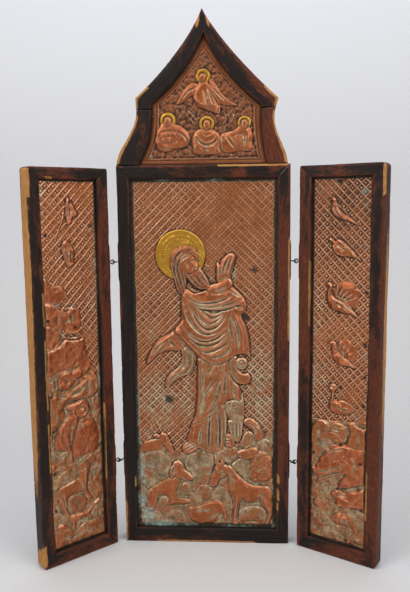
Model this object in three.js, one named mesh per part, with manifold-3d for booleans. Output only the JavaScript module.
// A travelling triptych altarpiece: a gabled wooden centre with a worked copper sheet in its frame,
// and two wings that hang on pairs of linked iron eyes and fold over its front.
// Millimetres, +Z up. The origin is the centre of the central frame's underside, and the front faces -Y.
import * as THREE from "three";
import { mergeVertices } from "three/addons/utils/BufferGeometryUtils.js";
import Module from "manifold-3d";

const wasm = await Module();
wasm.setup();

// Driving dimensions
const overallHeight = 600;
const centreWidth = 191;
const centreHeight = 437.5; // to the top of the cross rail that the gable stands on
const frameDepth = 16;
const stileWidth = 14;
const bottomRailHeight = 17.5;
const crossRailHeight = 14.5;
const wingWidth = 95;
const wingHeight = 434.5;
const wingTopRail = 12.8;
const wingBottomRail = 15.5;
const wingGap = 9; // between the centre's side and an unfolded wing's edge
const hingeForward = 1.7; // the eyes hang this far in front of the front plane
const leftFold = 43.6; // degrees that each wing is folded forward from flat
const rightFold = 31.2;
const lipDepth = 4.7; // thickness of the frame's front lip over the sheet
const rebate = 4; // how far the lip covers the sheet's edge
const arris = 0.9; // chamfer along the frame's long edges
const clearance = 0.3;
const sheetThickness = 1;
const bareBorder = 1.5; // unworked copper that shows inside the lip
const boardThickness = 8;
const hingeHeights = [101, 332]; // of the eyes above the underside
const plateHeight = 44;
const plateDepth = 11;
const plateThickness = 0.8;
const wireRadius = 0.7;
const eyeRadius = 2.15; // to the middle of the wire
const eyeSlack = 0.4; // the centre's eye sits this far back from the axis
const shankEntry = 4.3; // where a shank enters the frame's side, behind the front
const shankLength = 7.5; // within the wood

const sheetMargin = rebate + bareBorder - clearance; // from a sheet's edge to its relief
const front = -frameDepth / 2;
const back = frameDepth / 2;
const centreHalf = centreWidth / 2;
const groundFront = front + lipDepth + clearance; // the sheet's unworked face
const boardFront = groundFront + sheetThickness + clearance;

const wood = { color: 0x2c211d, roughness: 0.55, metalness: 0 };
const boardWood = { color: 0x4a3426, roughness: 0.75, metalness: 0 };
const copper = { color: 0xb8704a, roughness: 0.38, metalness: 1 };
const iron = { color: 0x25211f, roughness: 0.6, metalness: 0.8 };

// --- solids

function solidOf(geometry) {
  const bare = geometry.clone();
  bare.deleteAttribute("normal");
  bare.deleteAttribute("uv");
  const merged = mergeVertices(bare, 1e-4);
  const mesh = new wasm.Mesh({
    numProp: 3,
    vertProperties: new Float32Array(merged.attributes.position.array),
    triVerts: new Uint32Array(merged.index.array),
  });
  return new wasm.Manifold(mesh);
}

function geometryOf(solid) {
  const mesh = solid.getMesh();
  const corners = new Float32Array(mesh.numVert * 3);
  for (let i = 0; i < mesh.numVert; i++) {
    corners.set(mesh.vertProperties.subarray(i * mesh.numProp, i * mesh.numProp + 3), i * 3);
  }
  const geometry = new THREE.BufferGeometry();
  geometry.setAttribute("position", new THREE.BufferAttribute(corners, 3));
  geometry.setIndex(new THREE.BufferAttribute(new Uint32Array(mesh.triVerts), 1));
  geometry.computeVertexNormals();
  return geometry;
}

function extruded(outline, length) {
  const shape = new THREE.Shape(outline.map(([a, b]) => new THREE.Vector2(a, b)));
  return new THREE.ExtrudeGeometry(shape, { depth: length, bevelEnabled: false });
}

// An outline of [x, z] points as a slab between two depths.
function slab(outline, near, far) {
  const geometry = extruded(outline, far - near);
  geometry.rotateX(Math.PI / 2);
  geometry.translate(0, far, 0);
  return solidOf(geometry);
}

// A section of [x, y] points run upwards from one height to another.
function upright(section, low, high) {
  const geometry = extruded(section, high - low);
  geometry.translate(0, 0, low);
  return solidOf(geometry);
}

// A section of [y, z] points run along +X.
function crossways(section, left, right) {
  const geometry = extruded(section, right - left);
  const turn = new THREE.Matrix4().makeBasis(
    new THREE.Vector3(0, 1, 0),
    new THREE.Vector3(0, 0, 1),
    new THREE.Vector3(1, 0, 0),
  );
  geometry.applyMatrix4(turn);
  geometry.translate(left, 0, 0);
  return solidOf(geometry);
}

// --- outlines

function curve(from, handleA, handleB, to, steps = 8) {
  const [a, b, c, d] = [from, handleA, handleB, to].map(([x, z]) => new THREE.Vector2(x, z));
  return new THREE.CubicBezierCurve(a, b, c, d).getPoints(steps).map((p) => [p.x, p.y]);
}

// Moves each side of an anticlockwise outline outwards, and joins the sides again where they meet.
function grown(outline, distance) {
  const count = outline.length;
  const sides = outline.map(([x, z], i) => {
    const [nextX, nextZ] = outline[(i + 1) % count];
    const length = Math.hypot(nextX - x, nextZ - z);
    return { x, z, dx: (nextX - x) / length, dz: (nextZ - z) / length };
  });
  return sides.map((side, i) => {
    const before = sides[(i + count - 1) % count];
    const turn = before.dx * side.dx + before.dz * side.dz;
    const reach = distance / (1 + turn);
    return [side.x + (before.dz + side.dz) * reach, side.z - (before.dx + side.dx) * reach];
  });
}

// --- the frame's sticks

// The section of a stick: its face to the outside, its lip over the sheet and the rebate behind.
// Points are [across from the outer edge, depth], for a stick of the given face width.
function rebatedSection(width) {
  return [
    [0, front + arris],
    [arris, front],
    [width - arris, front],
    [width, front + arris],
    [width, front + lipDepth],
    [width - rebate, front + lipDepth],
    [width - rebate, back],
    [arris, back],
    [0, back - arris],
  ];
}

// Four mitred sticks around a sight opening. Widths are the faces seen from the front.
function mitredFrame(left, right, bottom, top, widths) {
  const sight = {
    left: left + widths.left,
    right: right - widths.right,
    bottom: bottom + widths.bottom,
    top: top - widths.top,
  };
  const gap = clearance / 2;
  const far = 40; // past the frame's own depth on both sides
  const mitre = (a, b, c, d) => slab([a, b, c, d], front - far, back + far);
  const leftCut = mitre(
    [left - 1, bottom - 1 + gap],
    [sight.left, sight.bottom + gap],
    [sight.left, sight.top - gap],
    [left - 1, top + 1 - gap],
  );
  const rightCut = mitre(
    [right + 1, bottom - 1 + gap],
    [right + 1, top + 1 - gap],
    [sight.right, sight.top - gap],
    [sight.right, sight.bottom + gap],
  );
  const bottomCut = mitre(
    [left + gap, bottom],
    [right - gap, bottom],
    [sight.right - gap, sight.bottom],
    [sight.left + gap, sight.bottom],
  );
  const topCut = mitre(
    [left + gap, top],
    [sight.left + gap, sight.top],
    [sight.right - gap, sight.top],
    [right - gap, top],
  );
  const leftStile = upright(
    rebatedSection(widths.left).map(([w, d]) => [left + w, d]),
    bottom,
    top,
  );
  const rightStile = upright(
    rebatedSection(widths.right).map(([w, d]) => [right - w, d]),
    bottom,
    top,
  );
  const bottomRail = crossways(
    rebatedSection(widths.bottom).map(([w, d]) => [d, bottom + w]),
    left,
    right,
  );
  const topRail = crossways(
    rebatedSection(widths.top).map(([w, d]) => [d, top - w]),
    left,
    right,
  );
  return {
    sight,
    leftStile: leftStile.intersect(leftCut),
    rightStile: rightStile.intersect(rightCut),
    bottomRail: bottomRail.intersect(bottomCut),
    topRail: topRail.intersect(topCut),
  };
}

// A rectangle that fills a sight opening and its rebate, less the working clearance.
function fillOf(sight) {
  const reach = rebate - clearance;
  return {
    left: sight.left - reach,
    right: sight.right + reach,
    bottom: sight.bottom - reach,
    top: sight.top + reach,
  };
}

function rectangle({ left, right, bottom, top }) {
  return [
    [left, bottom],
    [right, bottom],
    [right, top],
    [left, top],
  ];
}

// --- worked copper

// A form raised from the sheet: a tapered bar with round ends and a rounded back.
function raised(x, z, [ax, az, bx, bz, startRadius, endRadius, height]) {
  const along = bx === ax && bz === az ? 0 : ((x - ax) * (bx - ax) + (z - az) * (bz - az)) / ((bx - ax) ** 2 + (bz - az) ** 2);
  const t = Math.min(1, Math.max(0, along));
  const radius = startRadius + (endRadius - startRadius) * t;
  const distance = Math.hypot(x - ax - t * (bx - ax), z - az - t * (bz - az)) / radius;
  return distance < 1 ? height * Math.sqrt(1 - distance ** 2) : 0;
}

function highest(x, z, forms) {
  return forms.reduce((most, form) => Math.max(most, raised(x, z, form)), 0);
}

// Broken rock up to a wavy skyline, in tilted slabs.
function rocks(x, z, skyline, height) {
  if (z > skyline) {
    return 0;
  }
  const slabs = Math.abs(Math.sin(x * 0.16 + z * 0.09)) + Math.abs(Math.sin(z * 0.17 - x * 0.05));
  return height * (0.35 + 0.32 * slabs) * Math.min(1, (skyline - z) / 6 + 0.3);
}

// Places from low to high: both ends, a step in by the margin at each, and even steps between.
function stations(low, high, count, margin) {
  const between = Array.from({ length: count - 1 }, (_, i) => i / (count - 2));
  const step = Math.min(margin, (high - low) / 4);
  const even = between.map((share) => low + step + (high - low - 2 * step) * share);
  return [low, ...even, high];
}

// A closed sheet with a flat back. Rows run up it, each between leftAt and rightAt of its height.
function workedSheet({ leftAt, rightAt, bottom, top, columns, rows, margin, reliefAt }) {
  const points = [];
  const faces = [];
  const across = columns + 1;
  for (const z of stations(bottom, top, rows, margin)) {
    for (const x of stations(leftAt(z), rightAt(z), columns, margin)) {
      points.push([x, groundFront - reliefAt(x, z), z]);
    }
  }
  const at = (row, column) => row * across + column;
  for (let row = 0; row < rows; row++) {
    for (let column = 0; column < columns; column++) {
      const [a, b] = [at(row, column), at(row, column + 1)];
      const [c, d] = [at(row + 1, column + 1), at(row + 1, column)];
      faces.push([a, b, c], [a, c, d]);
    }
  }
  const rim = [];
  for (let column = 0; column < columns; column++) rim.push(at(0, column));
  for (let row = 0; row < rows; row++) rim.push(at(row, columns));
  for (let column = columns; column > 0; column--) rim.push(at(rows, column));
  for (let row = rows; row > 0; row--) rim.push(at(row, 0));
  const farFace = groundFront + sheetThickness;
  const firstBack = points.length;
  rim.forEach((corner) => points.push([points[corner][0], farFace, points[corner][2]]));
  const hub = points.length;
  const middle = (bottom + top) / 2;
  points.push([(leftAt(middle) + rightAt(middle)) / 2, farFace, middle]);
  rim.forEach((corner, i) => {
    const next = (i + 1) % rim.length;
    faces.push([corner, firstBack + i, rim[next]], [rim[next], firstBack + i, firstBack + next]);
    faces.push([firstBack + next, firstBack + i, hub]);
  });
  const geometry = new THREE.BufferGeometry();
  geometry.setAttribute("position", new THREE.Float32BufferAttribute(points.flat(), 3));
  geometry.setIndex(faces.flat());
  return solidOf(geometry);
}

// --- the reliefs, as forms of [from x, from z, to x, to z, first radius, last radius, height]

const saint = [
  [-26.5, 338, -26.5, 338, 28, 28, 1.2], // halo
  [-19, 329, -17, 332, 10, 10, 3.4], // head
  [-26, 328, -34, 312, 8, 6, 2.8], // hair
  [-12, 322, -3, 311, 7, 5, 2.8], // beard
  [24, 300, 24, 318, 8, 7, 3.4], // forearms
  [25, 320, 31, 337, 7, 5, 3], // hands
  [-4, 296, 8, 262, 24, 30, 3.2], // shoulders and chest
  [30, 298, 44, 279, 12, 11, 3.8], // elbow
  [-2, 262, 12, 232, 30, 18, 3.6], // mantle over the hips
  [-34, 252, -60, 222, 10, 7, 2.4], // mantle blown out behind
  [-46, 240, -44, 190, 9, 5, 2.2],
  [34, 262, 40, 226, 9, 6, 2.4],
  [6, 226, 4, 150, 17, 20, 3.4], // robe
  [4, 150, 2, 116, 20, 23, 3],
  [34, 214, 48, 196, 8, 6, 2], // scroll
  [30, 178, 40, 158, 8, 6, 2],
  [-26, 114, -14, 116, 6, 6, 2.6], // feet
  [20, 121, 32, 123, 6, 6, 2.6],
];

const beastsBelow = [
  [-66, 118, -46, 121, 8, 7, 2.8], // deer
  [-56, 126, -60, 144, 5, 4, 1.8],
  [-66, 52, -36, 70, 13, 10, 3.2], // seated hound
  [-34, 72, -28, 88, 7, 6, 3],
  [14, 80, 26, 84, 7, 8, 3.2], // ass
  [28, 72, 68, 60, 13, 14, 3.4],
  [31, 60, 32, 24, 6, 4, 2.8],
  [72, 54, 74, 24, 7, 4, 2.8],
  [46, 110, 68, 98, 9, 12, 2.8], // shaggy beast
  [54, 134, 66, 138, 6, 5, 2.2],
  [-14, 40, 20, 40, 10, 8, 2.4], // beast lying down
];

function centreRelief(x, z) {
  const skyline = 112 + 6 * Math.sin(x * 0.11) + 4 * Math.sin(x * 0.31);
  return Math.max(highest(x, z, saint), highest(x, z, beastsBelow), rocks(x, z, skyline, 2.6));
}

const angelAndScribes = [
  [2, 534, 2, 534, 8, 8, 2.6],
  [2, 524, 2, 504, 9, 12, 2.6],
  [-6, 520, -24, 508, 8, 5, 1.8],
  [10, 520, 28, 506, 8, 5, 1.8],
  [-37, 490, -37, 490, 9, 9, 2.4],
  [-38, 474, -30, 458, 10, 12, 2.4],
  [4.5, 482, 4.5, 482, 9, 9, 2.6],
  [3, 468, 3, 454, 12, 14, 2.6],
  [45, 485, 45, 485, 8, 8, 2.4],
  [40, 472, 32, 456, 9, 13, 2.4],
];

// Wing forms are measured outwards from the wing's inner edge.
const leftWingForms = [
  [51, 402, 47, 380, 4, 5, 2.2],
  [49, 352, 49, 330, 4, 5, 2.2],
  [42, 219, 60, 206, 6, 9, 2.8],
  [42, 176, 62, 142, 8, 11, 3],
  [58, 134, 56, 112, 6, 4, 2.6],
  [27, 115, 40, 94, 5, 7, 3],
  [44, 90, 64, 80, 11, 10, 3.2],
  [66, 74, 69, 52, 6, 4, 2.6],
  [25, 58, 46, 46, 5, 8, 2.6],
];

const rightWingForms = [
  [39, 397, 52, 376, 4, 5, 2.2],
  [36, 355, 56, 338, 4, 5, 2.2],
  [35, 306, 56, 284, 6, 9, 2.6],
  [38, 243, 54, 226, 5, 8, 2.6],
  [40, 195, 54, 174, 4, 8, 2.6],
  [22, 99, 46, 124, 8, 7, 2.8],
  [46, 124, 62, 128, 7, 6, 2.8],
  [24, 80, 58, 100, 6, 5, 2.4],
  [27, 57, 36, 56, 8, 7, 2.4],
  [50, 44, 64, 46, 9, 8, 2.6],
];

function leftWingRelief(out, z) {
  const skyline = 232 + 1.1 * (out - 20) + 9 * Math.abs(Math.sin(out * 0.13));
  return Math.max(highest(out, z, leftWingForms), rocks(out, z, skyline, 2.4));
}

function rightWingRelief(out, z) {
  const skyline = 150 + 6 * Math.abs(Math.sin(out * 0.18));
  return Math.max(highest(out, z, rightWingForms), rocks(out, z, skyline, 2.2));
}

// Takes the relief down to the bare border that the lip covers.
function insideSight(reliefAt, sight) {
  return (x, z) => {
    const inside = Math.min(x - sight.left, sight.right - x, z - sight.bottom, sight.top - z);
    return reliefAt(x, z) * THREE.MathUtils.clamp((inside - bareBorder) / 3, 0, 1);
  };
}

// --- the gable

const gableFoot = centreHeight + clearance;
const gableHalves = [
  {
    name: "left",
    outerFoot: [-95, gableFoot],
    outerCheek: [[-93, 461], [-71, 472], [-71.5, 497]],
    shoulder: [-72.5, 509.5],
    outerRafter: [[-56, 522], [-15, 563], [0.7, overallHeight]],
    innerFoot: [-70.5, gableFoot],
    innerCheek: [[-61, 455], [-55, 466], [-55, 496]],
    innerShoulder: [-55, 502.5],
    innerRafter: [[-42, 512], [-12, 540], [2, 574.5]],
  },
  {
    name: "right",
    outerFoot: [92.2, gableFoot],
    outerCheek: [[90, 461], [73, 473], [79, 497]],
    shoulder: [82.2, 507.5],
    outerRafter: [[66, 520], [19, 566], [0.7, overallHeight]],
    innerFoot: [70.5, gableFoot],
    innerCheek: [[66, 452], [63.5, 466], [63.5, 496]],
    innerShoulder: [63.8, 499.6],
    innerRafter: [[50, 509], [17, 540], [2, 574.5]],
  },
];

function gableCurves(half) {
  return {
    outerCheek: curve(half.outerFoot, ...half.outerCheek),
    outerRafter: curve(half.shoulder, ...half.outerRafter),
    innerCheek: curve(half.innerFoot, ...half.innerCheek),
    innerRafter: curve(half.innerShoulder, ...half.innerRafter),
  };
}

// The gable's sight opening, anticlockwise from the left foot.
function gableSight() {
  const [left, right] = gableHalves.map(gableCurves);
  return [
    ...right.innerCheek,
    ...right.innerRafter,
    ...left.innerRafter.reverse().slice(1),
    ...left.innerCheek.reverse(),
  ];
}

function gableMembers(half, opening) {
  const curves = gableCurves(half);
  const turned = half.name === "left" ? (outline) => outline.reverse() : (outline) => outline;
  const cheek = [...curves.outerCheek, ...curves.innerCheek.reverse()];
  const cheekTop = curves.outerCheek.at(-1);
  const lowered = cheekTop[1] + clearance;
  const side = Math.sign(half.shoulder[0]);
  const rafter = [
    [cheekTop[0] + side * 0.3, lowered],
    ...curves.outerRafter.slice(0, -1),
    [0.7 + side * (clearance / 2), overallHeight],
    [2 + side * (clearance / 2), half.innerRafter[2][1]],
    ...curves.innerRafter.reverse().slice(1),
    [half.innerCheek[2][0], lowered],
  ];
  const rebateCut = slab(grown(opening, rebate), front + lipDepth, back + 1);
  return {
    cheek: slab(turned(cheek), front, back).subtract(rebateCut),
    rafter: slab(turned(rafter), front, back).subtract(rebateCut),
  };
}

// The height at which a side of an outline is crossed, as a function of height.
function sideAt(outline, wantRight) {
  return (z) => {
    const crossings = outline.flatMap(([x, low], i) => {
      const [nextX, high] = outline[(i + 1) % outline.length];
      const spans = (low <= z && z <= high) || (high <= z && z <= low);
      return spans && high !== low ? [x + ((nextX - x) * (z - low)) / (high - low)] : [];
    });
    return wantRight ? Math.max(...crossings) : Math.min(...crossings);
  };
}

// --- hinge eyes and plates

// A ring with a round section, made as a turned profile that closes on itself.
function ring(radius) {
  const sides = 6;
  const profile = [];
  for (let i = 0; i <= sides; i++) {
    const angle = (i / sides) * Math.PI * 2;
    profile.push(new THREE.Vector2(radius + wireRadius * Math.cos(angle), wireRadius * Math.sin(angle)));
  }
  return new THREE.LatheGeometry(profile, 12);
}

function rod(from, to, radius) {
  const geometry = new THREE.CylinderGeometry(radius, radius, from.distanceTo(to), 6);
  const aim = new THREE.Quaternion().setFromUnitVectors(
    new THREE.Vector3(0, 1, 0),
    to.clone().sub(from).normalize(),
  );
  geometry.applyQuaternion(aim);
  const middle = from.clone().add(to).multiplyScalar(0.5);
  geometry.translate(middle.x, middle.y, middle.z);
  return solidOf(geometry);
}

// An eye hangs on the axis at the origin. Its shank runs towards "side" (-1 or 1) and backwards,
// through the plate and into the wood. The centre's eye lies flat and the wing's stands upright,
// so that each one's wire passes through the other.
function eye(side, upright) {
  const entry = new THREE.Vector3(side * (wingGap / 2), hingeForward + shankEntry, 0);
  const direction = entry.clone().normalize();
  const middle = upright ? eyeRadius : eyeSlack;
  const loop = ring(eyeRadius);
  if (upright) {
    loop.rotateZ(Math.atan2(direction.y, direction.x));
  } else {
    loop.rotateX(Math.PI / 2);
  }
  const centre = direction.clone().multiplyScalar(middle);
  loop.translate(centre.x, centre.y, centre.z);
  const start = direction.clone().multiplyScalar(middle + eyeRadius);
  const end = entry.clone().add(direction.clone().multiplyScalar(shankLength));
  return {
    solid: solidOf(loop).add(rod(start, end, wireRadius)),
    bore: rod(start.clone().sub(direction), end.clone().add(direction), wireRadius + clearance),
  };
}

// A thin iron plate with tapered ends on the frame's side, against the plane x = side * wingGap / 2.
function plate(side, bore) {
  const wall = side * (wingGap / 2 - clearance);
  const face = wall - side * plateThickness;
  const taper = 6;
  const half = plateHeight / 2;
  const near = hingeForward + 0.6;
  const outline = [
    [near + 2, -half],
    [near + plateDepth - 2, -half],
    [near + plateDepth, -half + taper],
    [near + plateDepth, half - taper],
    [near + plateDepth - 2, half],
    [near + 2, half],
    [near, half - taper],
    [near, -half + taper],
  ];
  return crossways(outline, Math.min(wall, face), Math.max(wall, face)).subtract(bore);
}

// --- assembly

const triptych = new THREE.Group();

function place(parent, name, solid, look) {
  const mesh = new THREE.Mesh(geometryOf(solid), new THREE.MeshStandardMaterial(look));
  mesh.name = name;
  parent.add(mesh);
}

// Eyes and plates of one side of the centre, at both heights, on the axis at x = side * axisX.
function hingeSet(side, upright) {
  return hingeHeights.map((height, i) => {
    const made = eye(side, upright);
    return {
      level: i === 0 ? "lower" : "upper",
      eye: made.solid.translate([0, 0, height]),
      plate: plate(side, made.bore).translate([0, 0, height]),
      bore: made.bore.translate([0, 0, height]),
    };
  });
}

function addCentre() {
  const frame = mitredFrame(-centreHalf, centreHalf, 0, centreHeight, {
    left: stileWidth,
    right: stileWidth,
    bottom: bottomRailHeight,
    top: crossRailHeight,
  });
  const opening = gableSight();
  const gableRebate = slab(grown(opening, rebate), front + lipDepth, back + 1);
  const stiles = { left: frame.leftStile, right: frame.rightStile };
  for (const [sideName, side] of [["left", -1], ["right", 1]]) {
    const axisX = side * (centreHalf + wingGap / 2);
    const hinges = hingeSet(-side, false);
    for (const hinge of hinges) {
      const shift = [axisX, front - hingeForward, 0];
      stiles[sideName] = stiles[sideName].subtract(hinge.bore.translate(shift));
      place(triptych, `${sideName}_${hinge.level}_centre_eye`, hinge.eye.translate(shift), iron);
      place(triptych, `${sideName}_${hinge.level}_centre_plate`, hinge.plate.translate(shift), iron);
    }
    place(triptych, `${sideName}_stile`, stiles[sideName], wood);
  }
  place(triptych, "bottom_rail", frame.bottomRail, wood);
  place(triptych, "cross_rail", frame.topRail.subtract(gableRebate), wood);
  const fill = fillOf(frame.sight);
  place(
    triptych,
    "central_copper_sheet",
    workedSheet({
      leftAt: () => fill.left,
      rightAt: () => fill.right,
      bottom: fill.bottom,
      top: fill.top,
      columns: 26,
      rows: 54,
      margin: sheetMargin,
      reliefAt: insideSight(centreRelief, frame.sight),
    }),
    copper,
  );
  place(
    triptych,
    "central_back_board",
    slab(rectangle(fill), boardFront, boardFront + boardThickness),
    boardWood,
  );
  addGable(opening);
}

function addGable(opening) {
  for (const half of gableHalves) {
    const { cheek, rafter } = gableMembers(half, opening);
    place(triptych, `gable_${half.name}_cheek`, cheek, wood);
    place(triptych, `gable_${half.name}_rafter`, rafter, wood);
  }
  const outline = grown(opening, rebate - clearance);
  const leftAt = sideAt(outline, false);
  const rightAt = sideAt(outline, true);
  const levels = outline.map(([, z]) => z);
  const bottom = Math.min(...levels) + 0.05;
  const top = Math.max(...levels) - 3;
  place(
    triptych,
    "gable_copper_sheet",
    workedSheet({
      leftAt,
      rightAt,
      bottom,
      top,
      columns: 17,
      rows: 22,
      margin: 2 * sheetMargin,
      reliefAt: (x, z) => {
        const inside = Math.min(x - leftAt(z), rightAt(z) - x, z - bottom, top - z);
        return inside <= 2 * sheetMargin ? 0 : highest(x, z, angelAndScribes);
      },
    }),
    copper,
  );
  place(triptych, "gable_back_board", slab(outline, boardFront, boardFront + boardThickness), boardWood);
}

// A wing is drawn unfolded, from the hinge axis outwards, in a group that is then folded forward.
function addWing(sideName, side, fold, wingRelief) {
  const wing = new THREE.Group();
  wing.position.set(side * (centreHalf + wingGap / 2), front - hingeForward, 0);
  wing.rotation.z = -side * THREE.MathUtils.degToRad(fold);
  triptych.add(wing);
  const drawn = new THREE.Group(); // from the axis back to the wing's own front plane
  drawn.position.set(0, hingeForward - front, 0);
  wing.add(drawn);
  const inner = side * (wingGap / 2);
  const outer = side * (wingGap / 2 + wingWidth);
  const frame = mitredFrame(Math.min(inner, outer), Math.max(inner, outer), 0, wingHeight, {
    left: stileWidth,
    right: stileWidth,
    bottom: wingBottomRail,
    top: wingTopRail,
  });
  let innerStile = side < 0 ? frame.rightStile : frame.leftStile;
  const outerStile = side < 0 ? frame.leftStile : frame.rightStile;
  for (const hinge of hingeSet(side, true)) {
    const shift = [0, front - hingeForward, 0];
    innerStile = innerStile.subtract(hinge.bore.translate(shift));
    place(drawn, `${sideName}_${hinge.level}_wing_eye`, hinge.eye.translate(shift), iron);
    place(drawn, `${sideName}_${hinge.level}_wing_plate`, hinge.plate.translate(shift), iron);
  }
  place(drawn, `${sideName}_wing_inner_stile`, innerStile, wood);
  place(drawn, `${sideName}_wing_outer_stile`, outerStile, wood);
  place(drawn, `${sideName}_wing_top_rail`, frame.topRail, wood);
  place(drawn, `${sideName}_wing_bottom_rail`, frame.bottomRail, wood);
  const fill = fillOf(frame.sight);
  const outwards = (x, z) => wingRelief(Math.abs(x) - wingGap / 2, z);
  place(
    drawn,
    `${sideName}_wing_copper_sheet`,
    workedSheet({
      leftAt: () => fill.left,
      rightAt: () => fill.right,
      bottom: fill.bottom,
      top: fill.top,
      columns: 11,
      rows: 41,
      margin: sheetMargin,
      reliefAt: insideSight(outwards, frame.sight),
    }),
    copper,
  );
  place(
    drawn,
    `${sideName}_wing_back_board`,
    slab(rectangle(fill), boardFront, boardFront + boardThickness),
    boardWood,
  );
}

addCentre();
addWing("left", -1, leftFold, leftWingRelief);
addWing("right", 1, rightFold, rightWingRelief);

export default triptych;
